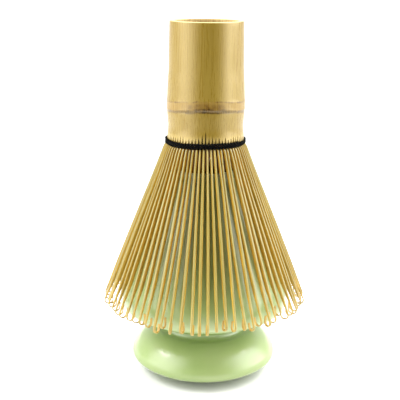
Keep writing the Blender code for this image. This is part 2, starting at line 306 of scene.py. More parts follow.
def handle_bamboo():
    """Polished bamboo skin: fine upright fibres, brown scars at the node, specks, a pale cut end and painted
    shade in the slits.
    """
    made = Shader("handle_bamboo")
    fibres = made.noise(made.place((1, 1, 0.02)), 2.6, 5, 0.6)
    streaks = made.noise(made.place((1, 1, 0.008)), 0.55, 3, 0.5)
    clouds = made.noise(made.place((1, 1, 0.35)), 0.09, 3, 0.5)
    skin = [(0.3, linear((128, 103, 32))), (0.5, linear((133, 109, 37))), (0.72, linear((138, 115, 43)))]
    colour = made.ramp(fibres, skin)
    colour = made.mix(made.range(streaks, 0.35, 0.7, 0.0, 0.25), colour, linear((122, 96, 28)))
    colour = made.mix(made.range(clouds, 0.4, 0.75, 0.0, 0.3), colour, linear((146, 125, 54)))

    place = made.add("ShaderNodeSeparateXYZ", {0: made.place()}).outputs
    height = made.attribute("level")
    wander = made.maths("MULTIPLY", made.noise(made.place((1, 1, 0.1)), 0.22, 2), 1.1)
    level = made.maths("SUBTRACT", made.maths("ADD", height, wander), 0.55)
    patches = made.range(made.noise(made.place((1, 1, 0.6)), 0.6, 4, 0.65), 0.38, 0.6)
    stained = made.range(place["Y"], -10.5, -13.2, 0.15, 1.0)
    upper = made.maths("MULTIPLY", made.band(level, UPPER_SCAR, 0.12, 0.3), patches)
    broken = made.maths("MAXIMUM", patches, 0.6)
    lower = made.maths("MULTIPLY", made.band(level, LOWER_SCAR, 0.3, 0.35), broken)
    lower = made.maths("MULTIPLY", lower, made.range(stained, 0.15, 0.6, 0.8, 1.0))
    scratch = made.maths("MULTIPLY", patches, stained)
    scratch = made.maths("MULTIPLY", made.band(level, SCRATCH, 0.08, 0.2), scratch)
    between = made.band(level, NODE_HEIGHT - 0.5, 1.2, 1.2)
    stain = made.range(made.noise(made.place((1, 1, 0.9)), 0.5, 5, 0.65), 0.32, 0.68, 0.2, 1.0)
    stain = made.maths("MULTIPLY", made.maths("MULTIPLY", stain, stained), made.band(level, STAIN, 0.8, 1.2))
    colour = made.mix(made.maths("MULTIPLY", between, 0.4), colour, linear((150, 114, 52)))
    colour = made.mix(made.maths("MULTIPLY", stain, 0.9), colour, linear((90, 60, 14)))
    colour = made.mix(made.maths("MULTIPLY", upper, 0.85), colour, linear((92, 62, 22)))
    lines = made.maths("MAXIMUM", lower, scratch)
    colour = made.mix(made.maths("MULTIPLY", lines, 0.95), colour, linear((48, 30, 10)))
    specks = made.range(made.noise(made.place((1, 1, 0.7)), 1.1, 4, 0.7), 0.66, 0.74)
    specks = made.maths("MULTIPLY", specks, made.band(level, NODE_HEIGHT - 3.2, 2.0, 2.5))
    colour = made.mix(made.maths("MULTIPLY", specks, 0.6), colour, linear((110, 82, 46)))

    inside = made.attribute("inside")
    end_dots = made.add("ShaderNodeTexVoronoi", {"Vector": made.place(), "Scale": 2.6}).outputs["Distance"]
    end_grain = made.mix(
        made.range(end_dots, 0.12, 0.3, 0.75, 0.0), linear((222, 198, 142)), linear((138, 102, 56))
    )
    # Painted shade: the deep faces of the slits between the tine roots are coloured dark brown, where shade
    # falls in them.
    groove = made.range(made.attribute("groove"), 0.1, 0.7)
    pith = made.mix(made.range(fibres, 0.35, 0.7), linear((196, 172, 118)), linear((160, 132, 84)))
    cut = made.range(height, HANDLE_TOP - 0.25, HANDLE_TOP - 0.02)
    scraped = made.band(height, TEETH_BOTTOM + 0.6, 0.8, 2.2)
    colour = made.mix(made.maths("MULTIPLY", scraped, 0.45), colour, linear((196, 172, 104)))
    colour = made.mix(inside, colour, pith)
    colour = made.mix(cut, colour, end_grain)
    colour = made.mix(groove, colour, linear((60, 40, 12)))

    shine = made.range(fibres, 0.3, 0.8, 0.25, 0.37)
    dull = made.maths("MAXIMUM", inside, cut)
    roughness = made.maths("ADD", shine, made.maths("MULTIPLY", dull, 0.45), clamp=True)
    relief = made.maths("ADD", fibres, made.maths("MULTIPLY", lower, -0.8))
    made.set(Base_Color=colour, Roughness=roughness, Normal=made.bump(relief, 0.25, 0.03))
    made.set(IOR=1.9, Specular_IOR_Level=0.5, Specular_Tint=linear((255, 238, 196)))
    return made.material


def split_bamboo(name, skin_colour, side_colour, tip_glow_colour, darkness):
    """Split bamboo: glossy skin on the outer face, a side colour of its own, darker fibres, and a paler tip
    colour that is partly the thin tips' own and partly painted light shining through them.
    """
    made = Shader(name)
    grain = made.add("ShaderNodeAttribute", {}, attribute_name="grain").outputs["Vector"]
    fibres = made.noise(made.stretched(grain, (1, 0.03, 1)), 7.0, 4, 0.6)
    tone = made.noise(made.stretched(grain, (0.02, 0.012, 1)), 1.7, 2, 0.5)
    skin = made.range(made.attribute("skin"), 0.35, 0.75)
    tip = made.attribute("tip")
    colour = made.mix(skin, side_colour, skin_colour)
    colour = made.mix(made.range(fibres, 0.4, 0.72, 0.0, 0.55), colour, darkness)
    colour = made.mix(made.range(tone, 0.35, 0.65, 0.0, 0.4), colour, darkness)
    # Towards the tips the colour turns paler gold: partly the thin bamboo's own colour, partly painted light
    # standing for light through the thin curls.
    colour = made.mix(made.range(tip, 0.0, 0.5, 0.0, 0.8), colour, tip_glow_colour)
    roughness = made.range(fibres, 0.3, 0.8, 0.34, 0.55)
    made.set(Base_Color=colour, Roughness=roughness, Normal=made.bump(fibres, 0.4, 0.04))
    made.set(Coat_Weight=0.2, Coat_Roughness=0.25)
    return made.material


def black_cotton():
    """Twisted black cotton: matt, with fine paler stray fibres."""
    made = Shader("black_cotton")
    fibres = made.noise(made.place(), 14.0, 4, 0.7, 1.5)
    blacks = [(0.35, linear((3, 3, 2))), (0.62, linear((8, 8, 5))), (0.85, linear((20, 20, 14)))]
    colour = made.ramp(fibres, blacks)
    made.set(Base_Color=colour, Roughness=0.88, Normal=made.bump(fibres, 0.7, 0.06))
    made.set(Sheen_Weight=0.05, Sheen_Roughness=0.4, Specular_IOR_Level=0.1)
    return made.material


def celadon_glaze():
    """Pale green glaze over pale clay: paler on edges, deeper where it pools, and darker olive up the cone
    under the tines as painted shade.
    """
    made = Shader("celadon_glaze")
    drift = made.noise(made.place(), 0.06, 4, 0.55)
    mottle = made.noise(made.place(), 0.45, 4, 0.6)
    specks = made.range(made.noise(made.place(), 2.3, 3, 0.6), 0.71, 0.77)
    pool = made.attribute("pool")
    thin = made.attribute("thin")
    colour = made.mix(made.range(drift, 0.3, 0.7), linear((139, 160, 94)), linear((149, 166, 105)))
    colour = made.mix(made.range(mottle, 0.35, 0.7, 0.0, 0.3), colour, linear((146, 164, 104)))
    colour = made.mix(made.maths("MULTIPLY", pool, 0.75), colour, linear((136, 158, 92)))
    height = made.add("ShaderNodeSeparateXYZ", {0: made.place()}).outputs["Z"]
    # Painted shade: the glaze on the holder's cone turns darker olive from 31 mm up, standing for the shade
    # of the tines around it.
    bell_shade = made.range(height, *BELL_SHADE_HEIGHTS)
    colour = made.mix(made.maths("MULTIPLY", bell_shade, 0.62), colour, linear((112, 106, 38)))
    colour = made.mix(made.maths("MULTIPLY", thin, 0.7), colour, linear((188, 200, 156)))
    colour = made.mix(made.maths("MULTIPLY", specks, 0.25), colour, linear((120, 140, 80)))
    bare = made.attribute("bare")
    clay = made.noise(made.place(), 3.2, 5, 0.7)
    clay_colour = made.mix(clay, linear((226, 218, 200)), linear((240, 234, 220)))
    colour = made.mix(bare, colour, clay_colour)
    # Kept above 0.28: where roughness crosses 0.27, the denoised picture shows the mottle as hard spots.
    shine = made.range(mottle, 0.3, 0.8, 0.285, 0.33)
    roughness = made.maths("ADD", shine, made.maths("MULTIPLY", bare, 0.6))
    waves = made.noise(made.place(), 0.16, 2, 0.4)
    soft = made.bump(waves, 0.2, 0.2)
    made.set(Base_Color=colour, Roughness=roughness, Normal=made.bump(mottle, 0.06, 0.05, soft))
    made.set(Coat_Weight=0.6, Coat_Roughness=0.18, IOR=1.5)
    return made.material


def arc(centre, radii, start, end, steps):
    """Points along part of an ellipse, from one angle to another."""
    angles = np.linspace(start, end, steps + 1)
    return np.stack([centre[0] + radii[0] * np.cos(angles), centre[1] + radii[1] * np.sin(angles)], 1)


def bezier(start, start_pull, end_pull, end, steps):
    """Points along a smooth curve that leaves start towards its pull and comes to end from its pull."""
    t = np.linspace(0, 1, steps + 1)[:, None]
    corners = [np.array(corner, float) for corner in (start, start_pull, end_pull, end)]
    weights = ((1 - t) ** 3, 3 * t * (1 - t) ** 2, 3 * t * t * (1 - t), t ** 3)
    return sum(weight * corner for weight, corner in zip(weights, corners))


def unit(vectors):
    """Vectors, one to a row or a single one, made 1 long."""
    return vectors / np.linalg.norm(vectors, axis=-1, keepdims=True)


def square_to(ahead, flat):
    """The rows of flat made square to the rows of ahead, and 1 long."""
    return unit(flat - ahead * np.sum(flat * ahead, 1)[:, None])


def lengths_along(centres):
    """How far along a line of points each point is."""
    return np.concatenate([[0], np.cumsum(np.linalg.norm(np.diff(centres, axis=0), axis=1))])


def about_axis(azimuth):
    """The matrix that turns the +X side about Z to an azimuth."""
    across, along = math.sin(azimuth), math.cos(azimuth)
    return np.array([(along, -across, 0), (across, along, 0), (0, 0, 1)])


def tube_faces(rings, sides):
    """The faces of a closed tube: walls from ring to ring, and a cap on each end."""
    faces = []
    for ring in range(rings - 1):
        for side in range(sides):
            a, b = ring * sides + side, ring * sides + (side + 1) % sides
            faces.append((a, b, b + sides, a + sides))
    faces.append(tuple(range(sides))[::-1])
    faces.append(tuple((rings - 1) * sides + side for side in range(sides)))
    return faces


def add_piece(name, points, faces, surface, stands_for, floats=None, vectors=None, sharp=40):
    """A mesh piece from points in millimetres, with its attributes, material, slot and CAD nodes."""
    mesh = bpy.data.meshes.new(name)
    mesh.from_pydata((np.asarray(points) * MM).tolist(), [], faces)
    for key, values in (floats or {}).items():
        mesh.attributes.new(key, "FLOAT", "POINT").data.foreach_set("value", np.asarray(values, np.float32))
    for key, values in (vectors or {}).items():
        layer = mesh.attributes.new(key, "FLOAT_VECTOR", "POINT")
        layer.data.foreach_set("vector", np.asarray(values, np.float32).ravel())
    bm = bmesh.new()
    bm.from_mesh(mesh)
    bmesh.ops.remove_doubles(bm, verts=bm.verts, dist=0.0005 * MM)
    bmesh.ops.recalc_face_normals(bm, faces=bm.faces)
    bm.to_mesh(mesh)
    bm.free()
    mesh.shade_smooth()
    mesh.set_sharp_from_angle(angle=math.radians(sharp))
    mesh.materials.append(surface)
    piece = bpy.data.objects.new(name, mesh)
    bpy.context.scene.collection.objects.link(piece)
    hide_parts(*stands_for)
    return piece


def turned(outline, sides):
    """Points and faces of a solid turned about Z, from an outline that starts and ends on the axis."""
    rings = outline[1:-1]
    angles = np.arange(sides) * TURN / sides
    x = rings[:, :1] * np.cos(angles)
    y = rings[:, :1] * np.sin(angles)
    z = np.repeat(rings[:, 1:], sides, 1)
    points = np.stack([x, y, z], 2).reshape(-1, 3)
    points = np.vstack([points, [(0, 0, outline[0][1]), (0, 0, outline[-1][1])]])
    faces = []
    for ring in range(len(rings) - 1):
        for side in range(sides):
            a, b = ring * sides + side, ring * sides + (side + 1) % sides
            faces.append((a, b, b + sides, a + sides))
    last = (len(rings) - 1) * sides
    for side in range(sides):
        following = (side + 1) % sides
        faces.append((len(points) - 2, following, side))
        faces.append((len(points) - 1, last + side, last + following))
    return points, faces


def holder_outline():
    """The holder's outline from the axis under its foot, up its outside, over the lip and down inside."""
    bell_run = RIM_HEIGHT - LIP_ROUNDING - BELL_SHOULDER_HEIGHT
    bell_radius = RIM_RADIUS + LIP_ROUNDING + BELL_SLOPE * bell_run
    inner_bell_radius = bell_radius - 2 * LIP_ROUNDING
    lip_height = RIM_HEIGHT - LIP_ROUNDING
    foot_angle = -math.acos((FOOT_OUTER_RADIUS - BASE_RADIUS + BASE_LOWER_WIDTH) / BASE_LOWER_WIDTH)
    shoulder = np.array((SHOULDER_RADIUS, SHOULDER_HEIGHT))
    shoulder_rise = np.array((-math.sin(SHOULDER_LEAN), math.cos(SHOULDER_LEAN)))
    belly_centre = (BELLY_RADIUS - BELLY_ROUNDING, BELLY_HEIGHT)
    under = arc(belly_centre, (BELLY_ROUNDING, BELLY_ROUNDING), 0, BELLY_UNDERSIDE, 12)
    base_centre = (BASE_RADIUS - BASE_LOWER_WIDTH, BASE_HEIGHT)
    base_under = arc(base_centre, (BASE_LOWER_WIDTH, BASE_HEIGHT), foot_angle, 0, 16)
    crest = (CREST_RADIUS, CREST_HEIGHT)
    neck_point = (NECK_RADIUS, NECK_HEIGHT)
    outside = [
        bezier((0, FOOT_RECESS), (4, FOOT_RECESS), (8, FOOT_RECESS), (11, FOOT_RECESS), 4),
        bezier((11.6, FOOT_RECESS), (12.6, 1.25), (12.8, 0.3), (FOOT_INNER_RADIUS, 0.08), 6),
        bezier((FOOT_INNER_RADIUS + 0.3, 0), (15, 0), (16, 0), (FOOT_OUTER_RADIUS - 0.4, 0), 4),
        bezier((FOOT_OUTER_RADIUS - 0.1, 0.12), (FOOT_OUTER_RADIUS, 0.3), (17, 0.7), base_under[0], 4),
        base_under[1:],
        bezier(
            (BASE_RADIUS, BASE_HEIGHT),
            (BASE_RADIUS, BASE_HEIGHT + 2),
            shoulder - 2.2 * shoulder_rise,
            shoulder,
            14,
        )[1:],
        bezier(shoulder, shoulder + 3 * shoulder_rise, (CREST_RADIUS + 1.6, CREST_HEIGHT), crest, 12)[1:],
        bezier(
            crest,
            (CREST_RADIUS - 1.2, CREST_HEIGHT),
            (NECK_RADIUS, CREST_HEIGHT + 0.1),
            neck_point,
            10,
        )[1:],
        bezier(neck_point, (15.2, 19.7), under[-1] - (6, 2.6), under[-1], 16)[1:-1],
        under[::-1],
        bezier(
            under[0],
            (BELLY_RADIUS, BELLY_HEIGHT + 3),
            (bell_radius + 2 * BELL_SLOPE, BELL_SHOULDER_HEIGHT - 2),
            (bell_radius, BELL_SHOULDER_HEIGHT),
            12,
        )[1:],
        np.linspace((bell_radius, BELL_SHOULDER_HEIGHT), (RIM_RADIUS + LIP_ROUNDING, lip_height), 24)[1:],
        arc((RIM_RADIUS, lip_height), (LIP_ROUNDING, LIP_ROUNDING), 0, math.pi, 18)[1:],
    ]
    belly = BELLY_RADIUS - HOLDER_WALL
    neck = NECK_RADIUS - HOLDER_WALL
    base = BASE_RADIUS - HOLDER_WALL
    floor = FOOT_RECESS + HOLDER_WALL
    inner_lip = (RIM_RADIUS - LIP_ROUNDING, lip_height)
    inside = [
        np.linspace(inner_lip, (inner_bell_radius, BELL_SHOULDER_HEIGHT), 16)[1:],
        bezier(
            (belly, BELLY_HEIGHT + 1),
            (belly, BELLY_HEIGHT - 2.5),
            (neck, NECK_HEIGHT + 9),
            (neck, NECK_HEIGHT),
            14,
        ),
        bezier(
            (neck, NECK_HEIGHT - 3),
            (neck + 5, NECK_HEIGHT - 4.5),
            (base - 2.3, BASE_HEIGHT + 4),
            (base - 0.5, BASE_HEIGHT + 1),
            10,
        ),
        bezier((base - 0.6, floor + 1.6), (base - 2, floor), (16, floor), (FOOT_INNER_RADIUS, floor), 6),
        np.array([(0, floor)]),
    ]
    return np.vstack(outside), np.vstack(inside)


def make_holder(surface):
    """The hollow holder, with values for where its glaze pools, thins or leaves the clay bare."""
    outside, inside = holder_outline()
    outline = np.vstack([outside, inside])
    points, faces = turned(outline, HOLDER_SIDES)
    angles = np.arctan2(points[:, 1], points[:, 0])
    heights = points[:, 2]
    radii = np.hypot(points[:, 0], points[:, 1])
    # A thrown and trimmed piece is never quite round: the belly and base wander by a tenth of a millimetre.
    lift = np.clip(heights / 12, 0, 1) * np.clip((RIM_HEIGHT - heights) / 20, 0, 1)
    wander = 1 + lift * (0.0022 * np.cos(2 * angles + 0.6) + 0.0011 * np.cos(3 * angles + 2.0))
    points[:, :2] *= wander[:, None]
    from_neck = np.hypot(heights - NECK_HEIGHT + 1.2, radii - NECK_RADIUS)
    pool = np.exp(-((from_neck / 3.6) ** 2))
    from_lip = np.hypot(heights - RIM_HEIGHT, radii - RIM_RADIUS)
    from_belly = np.hypot(heights - BELLY_HEIGHT + 1.5, radii - BELLY_RADIUS)
    thin = np.exp(-((from_lip / 1.5) ** 2)) + 0.5 * np.exp(-((from_belly / 2.5) ** 2))
    bare = np.clip(1.4 - heights * 2.2, 0, 1)
    floats = {"pool": pool, "thin": np.clip(thin, 0, 1), "bare": bare}
    holder = add_piece(
        "glazed_holder", points, faces, surface, ["whisk_holder"], floats, sharp=60
    )
    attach(holder, "holder")


def smooth_through(knots, heights):
    """Radii at heights, on a smooth curve through (height, radius) knots in rising order."""
    knots = np.array(knots, float)
    slopes = np.gradient(knots[:, 1], knots[:, 0])
    spans = np.clip(np.searchsorted(knots[:, 0], heights, side="right") - 1, 0, len(knots) - 2)
    low, high = knots[spans], knots[spans + 1]
    width = high[:, 0] - low[:, 0]
    t = np.clip((heights - low[:, 0]) / width, 0, 1)
    start = (2 * t ** 3 - 3 * t ** 2 + 1) * low[:, 1] + (t ** 3 - 2 * t ** 2 + t) * width * slopes[spans]
    end = (3 * t ** 2 - 2 * t ** 3) * high[:, 1] + (t ** 3 - t ** 2) * width * slopes[spans + 1]
    return start + end


def handle_radius(heights):
    """The handle's outer radius: its profile, with a low ridge each side of the node and a fine groove."""
    ridges = UPPER_RIDGE * np.exp(-(((heights - NODE_HEIGHT - NODE_SPREAD) / 0.55) ** 2))
    ridges += LOWER_RIDGE * np.exp(-(((heights - NODE_HEIGHT + NODE_SPREAD) / 0.45) ** 2))
    groove = GROOVE_DEPTH * np.exp(-(((heights - NODE_HEIGHT + NODE_SPREAD + 0.75) / 0.3) ** 2))
    return smooth_through(HANDLE_PROFILE, heights) + ridges - groove


def handle_outline():
    """Rings from the axis under the node's wall, down inside, round the teeth's ends, up and back in."""
    inner_zone = np.linspace(TEETH_ZONE, TEETH_BOTTOM, 13)
    under_node = NODE_HEIGHT - NODE_WALL / 2
    over_node = NODE_HEIGHT + NODE_WALL / 2
    below_node = np.arange(TEETH_ZONE + 0.5, 94, 0.5)
    at_node = np.arange(94, 103, 0.12)
    above_node = np.arange(103, HANDLE_TOP - 1, 0.8)
    outer_rows = np.concatenate([inner_zone[::-1], below_node, at_node, above_node])
    top_radius = float(handle_radius(np.array([HANDLE_TOP]))[0])
    bore = top_radius - HANDLE_WALL
    lower = [np.array([(0, under_node + 0.3)]), np.array([(4, under_node + 0.25), (8, under_node)])]
    lower.append(bezier((9.6, under_node - 0.3), (11, 97), (11.6, 96), (11.75, 94), 6))
    lower.append(np.stack([handle_radius(inner_zone) - HANDLE_WALL, inner_zone], 1))
    lip_centre = (top_radius - END_ROUNDING, HANDLE_TOP - END_ROUNDING)
    lip = arc(lip_centre, (END_ROUNDING, END_ROUNDING), 0, math.pi / 2, 4)
    inner_lip = arc((bore + 0.25, HANDLE_TOP - 0.25), (0.25, 0.25), math.pi / 2, math.pi, 3)
    outer = np.stack([handle_radius(outer_rows), outer_rows], 1)
    upper = [lip, inner_lip]
    upper.append(np.linspace((bore, HANDLE_TOP - 1), (bore + 0.3, over_node + 3), 12))
    pulls = (bore, over_node + 0.6), (bore - 1, over_node)
    upper.append(bezier((bore + 0.2, over_node + 2.4), *pulls, (8, over_node - 0.1), 6))
    upper.append(np.array([(4, over_node - 0.2), (0, over_node - 0.25)]))
    first = sum(len(part) for part in lower[:-1])
    rings = np.vstack(lower + [outer] + upper)
    inner_rows = range(first, first + len(inner_zone))
    outer_rows = range(first + 2 * len(inner_zone) - 1, first + len(inner_zone) - 1, -1)
    return rings, list(zip(inner_rows, outer_rows))


def slit_tops(random):
    """How high the splits between the tines run; two in front and a few others run higher."""
    tops = random.uniform(*SLIT_TOPS, TINE_COUNT)
    front = TINE_COUNT * 3 // 4
    tops[front] = LONG_SLIT
    tops[front - 1] = LONG_SLIT_SIDE
    tops[random.integers(0, TINE_COUNT, 5)] += SLIT_EXTRA
    return tops


def make_handle(surface, random):
    """The tube with its node, slit from below between the tines' roots, and a little out of round."""
    rings, slit_rows = handle_outline()
    tops = slit_tops(random)
    widths = SLIT_WIDTH * random.uniform(0.8, 1.2, TINE_COUNT)
    per_cell = COLUMNS_PER_TINE + 1
    across = np.linspace(0, 1, per_cell)
    tiers = []
    for radius, height in rings[1:-1]:
        reach = np.clip((tops - height) / (tops - TEETH_BOTTOM), 0, 1)
        open_here = height < TEETH_ZONE and radius > ROOT_RADIUS - 1
        gaps = widths / 2 * reach ** 0.8 / ROOT_RADIUS if open_here else np.zeros(TINE_COUNT)
        low = np.arange(TINE_COUNT) * TINE_STEP + gaps
        high = (np.arange(TINE_COUNT) + 1) * TINE_STEP - np.roll(gaps, -1)
        angles = (low[:, None] + (high - low)[:, None] * across).ravel()
        level = np.full(angles.size, height)
        tiers.append(np.stack([radius * np.cos(angles), radius * np.sin(angles), level], 1))
    width = TINE_COUNT * per_cell
    points = np.vstack(tiers + [[(0, 0, rings[0][1]), (0, 0, rings[-1][1])]])
    faces = []
    cells = [cell * per_cell + column for cell in range(TINE_COUNT) for column in range(COLUMNS_PER_TINE)]
    for tier in range(len(tiers) - 1):
        start = tier * width
        faces += [(start + c, start + c + 1, start + width + c + 1, start + width + c) for c in cells]
    last = (len(tiers) - 1) * width
    faces += [(len(points) - 2, c + 1, c) for c in cells]
    faces += [(len(points) - 1, last + c, last + c + 1) for c in cells]
    for (inner_above, outer_above), (inner_below, outer_below) in zip(slit_rows, slit_rows[1:]):
        height = rings[inner_below][1]
        for cell in np.flatnonzero(tops > height):
            for column in (cell * per_cell, (cell - 1) % TINE_COUNT * per_cell + COLUMNS_PER_TINE):
                tiers_at = [tier - 1 for tier in (inner_above, outer_above, outer_below, inner_below)]
                faces.append(tuple(tier * width + column for tier in tiers_at))
    angles = np.arctan2(points[:, 1], points[:, 0])
    oval = 1 + 0.004 * np.cos(2 * angles + 0.7) + 0.0015 * np.cos(5 * angles)
    points[:, :2] *= oval[:, None]
    radii = np.hypot(points[:, 0], points[:, 1])
    levels = points[:, 2].copy()
    inside = np.clip((handle_radius(levels) - radii - 0.6) / 0.5, 0, 1)
    # Points deep in the slits, where handle_bamboo paints shade.
    groove = ((radii < ROOT_RADIUS - 0.8) & (levels < TEETH_ZONE)).astype(float)
    near_node = np.exp(-(((levels - NODE_HEIGHT) / 4) ** 2))
    points[:, 2] += near_node * (0.16 - 0.56 * np.cos(2 * angles) + 0.18 * np.sin(angles + 2.2))
    points[:, 2] += near_node * 0.12 * np.sin(3 * angles)
    floats = {"inside": inside, "groove": groove, "level": levels}
    handle = add_piece(
        "bamboo_culm", points, faces, surface, ["bamboo_handle"], floats, sharp=35
    )
    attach(handle, "whisk")


# The corners of a tine's section as shares of its half width and half thickness, and where skin is.
SECTION = np.array([
    (-1, -0.5), (-1, 0.5), (-0.62, 1), (0, 1.12), (0.62, 1), (1, 0.5), (1, -0.5), (0.6, -1), (-0.6, -1),
])
SECTION_SKIN = np.array([0, 0, 0.75, 1, 0.75, 0, 0, 0, 0])


def swept(centres, backs, sides, widths, thicknesses):
    """Points and faces of a bar with SECTION at each centre; backs point out of its skin."""
    points = centres[:, None] + SECTION[None, :, :1] * (widths / 2)[:, None, None] * sides[:, None]
    points = points + SECTION[None, :, 1:] * (thicknesses / 2)[:, None, None] * backs[:, None]
    return points.reshape(-1, 3), tube_faces(len(centres), len(SECTION))


def bar_attributes(centres, widths, seed, tips):
    """Grain coordinates, skin and tip values for each point of a swept bar."""
    count = len(SECTION)
    along = lengths_along(centres)
    across = SECTION[None, :, 0] * (widths / 2)[:, None]
    grain = np.stack([across, np.repeat(along[:, None], count, 1), np.full(across.shape, seed)], 2)
    skin = np.tile(SECTION_SKIN, len(centres))
    return grain.reshape(-1, 3), skin, np.repeat(tips, count)


def outer_path_radius(heights):
    """Where the middle of an outer tine runs: out of the thread with a small bow, then a straight cone."""
    end_radius = CURL_CENTRE_RADIUS + CURL_RADIUS * math.cos(CURL_START)
    end_height = CURL_CENTRE_HEIGHT + CURL_RADIUS * math.sin(CURL_START)
    slope = (end_radius - ROOT_RADIUS - FLARE_STEP) / (FLARE_TOP - end_height)
    fall = np.clip(FLARE_TOP - heights, 0, None)
    bow = FLARE_BOW * (1 - np.exp(-fall)) * np.exp(-fall / 6) - FLARE_STEP * np.exp(-fall / 0.5)
    return ROOT_RADIUS + FLARE_STEP + slope * fall + bow


def outer_tine(azimuth, random, seed, pairing):
    """One outer tine: down from the thread, drifting a little, then curled in at its tip."""
    end_height = CURL_CENTRE_HEIGHT + CURL_RADIUS * math.sin(CURL_START) + random.normal(0, 0.45)
    flare = np.linspace(FLARE_TOP, FLARE_BOTTOM, 8)
    heights = np.concatenate([[ROOT_TOP, ROOT_BOTTOM], flare, np.linspace(SHAFT_TOP, end_height, 22)])
    share = np.clip((FLARE_TOP - heights) / (FLARE_TOP - end_height), 0, 1)
    drift = np.clip(random.normal(0, DRIFT), -GREATEST_DRIFT, GREATEST_DRIFT) * share ** 1.3
    drift = drift + (random.normal(0, 0.12) + pairing) * np.sin(math.pi * share ** 0.8)
    thickness = np.interp(share, *SHAFT_THICKNESS)
    radii = outer_path_radius(heights) + random.normal(0, 0.22) * share ** 1.5
    radii += SHAFT_BOW * np.sin(math.pi * share) - (thickness - 0.55) / 2
    shaft = np.stack([radii, drift, heights], 1)

    down = unit(shaft[-1] - shaft[-2])
    out = unit(np.cross(down, (0, 1, 0)))
    side = np.cross(out, down)
    lean = math.radians(np.clip(random.normal(0, TIP_LEAN), -GREATEST_LEAN, GREATEST_LEAN))
    curl_out = math.cos(lean) * out + math.sin(lean) * side
    curl_radius = CURL_RADIUS * random.uniform(*CURL_SIZES)
    sweep = np.linspace(0, math.radians(random.uniform(*CURL_SWEEP)), 19)[1:]
    shrink = curl_radius * (1 - 0.12 * sweep / math.pi)
    centre = shaft[-1] - curl_radius * curl_out
    curl = centre + shrink[:, None] * (np.cos(sweep)[:, None] * curl_out + np.sin(sweep)[:, None] * down)
    leg = -np.sin(sweep[-1]) * curl_out + np.cos(sweep[-1]) * down
    leg_end = curl[-1] + leg * random.uniform(*LEG_LENGTH)
    centres = np.vstack([shaft, curl, leg_end])

    ahead = unit(np.gradient(centres, axis=0))
    twist = lean * np.clip((share - 0.72) / 0.28, 0, 1) ** 2
    twist = np.concatenate([twist, np.full(len(centres) - len(twist), lean)])
    flat = square_to(ahead, np.cos(twist)[:, None] * side - np.sin(twist)[:, None] * out)
    backs = np.cross(ahead, flat)

    whole = np.concatenate([share, 1 + np.linspace(0, 1, len(centres) - len(share))])
    size = random.uniform(*TINE_SIZES)
    widths = size * np.interp(whole, *TINE_WIDTH)
    thicknesses = np.concatenate([thickness, np.interp(whole[len(share):], *CURL_THICKNESS)])
    points, faces = swept(centres, backs, flat, widths, thicknesses)
    grain, skin, tip = bar_attributes(centres, widths, seed, np.clip(whole - 0.9, 0, 1))
    return points @ about_axis(azimuth).T, faces, grain, skin, tip


def inner_tine(azimuth, random, seed):
    """One inner tine: from behind the thread in through the rim, drawing together in the holder."""
    bottom = INNER_LOW[2] + random.uniform(0, 1.5)
    heights = np.concatenate([[ROOT_TOP], np.linspace(INNER_BEND_TOP, bottom, 18)])
    share = np.clip((heights - bottom) / (INNER_BEND_TOP - bottom), 0, 1)
    spread = INNER_ROOT_RADIUS - INNER_TIP_RADIUS
    radii = INNER_TIP_RADIUS + spread * share ** 2 + random.normal(0, 0.22) * (1 - share) * share * 4
    drift = random.normal(0, 0.12) * (1 - share) ** 2
    centres = np.stack([radii, drift, heights], 1)
    ahead = unit(np.gradient(centres, axis=0))
    flat = square_to(ahead, np.tile((0.0, 1.0, 0.0), (len(centres), 1)))
    backs = np.cross(ahead, flat)
    widths = 0.26 + 0.62 * share ** 2
    thicknesses = 0.22 + 0.3 * share
    points, faces = swept(centres, backs, flat, widths, thicknesses)
    grain, skin, tip = bar_attributes(centres, widths, seed, np.clip(1 - share, 0, 1) * 0.5)
    return points @ about_axis(azimuth).T, faces, grain, skin, tip


def joined(bars):
    """Several bars as one set of points, faces, floats and vectors."""
    points, faces, grains, skins, tips = [], [], [], [], []
    start = 0
    for bar_points, bar_faces, grain, skin, tip in bars:
        points.append(bar_points)
        faces += [tuple(start + corner for corner in face) for face in bar_faces]
        grains.append(grain)
        skins.append(skin)
        tips.append(tip)
        start += len(bar_points)
    floats = {"skin": np.concatenate(skins), "tip": np.concatenate(tips)}
    return np.vstack(points), faces, floats, {"grain": np.vstack(grains)}


def make_outer_tines(surface, random):
    """Twelve groups of outer tines, each built as its own piece for its CAD node; below the thread the tines
    splay out of the whisk.
    """
    pull = random.uniform(-0.1, 0.4, TINE_COUNT)
    for group in range(GROUP_COUNT):
        middle = group * TURN / GROUP_COUNT
        bars = []
        for index in range(TINES_IN_GROUP):
            azimuth = middle + (index - (TINES_IN_GROUP - 1) / 2) * TINE_STEP
            pairing = (-1) ** index * pull[group * GROUP_COUNT // 2 + index // 2]
            bars.append(outer_tine(azimuth, random, group * TINES_IN_GROUP + index, pairing))
        points, faces, floats, vectors = joined(bars)
        name, node = f"splayed_tines_{group + 1:02d}", f"outer_tines_{group + 1:02d}"
        tines = add_piece(name, points, faces, surface, [node], floats, vectors)
        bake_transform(tines)


def make_inner_tines(surface, random):
    """The inner tines, as one piece, each a quarter of a step round from the middle of an outer one."""
    bars = [inner_tine((index + 0.25) * TINE_STEP, random, 100 + index) for index in range(TINE_COUNT)]
    points, faces, floats, vectors = joined(bars)
    tines = add_piece(
        "gathered_tines", points, faces, surface, ["inner_tines"], floats, vectors
    )
    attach(tines, "whisk")


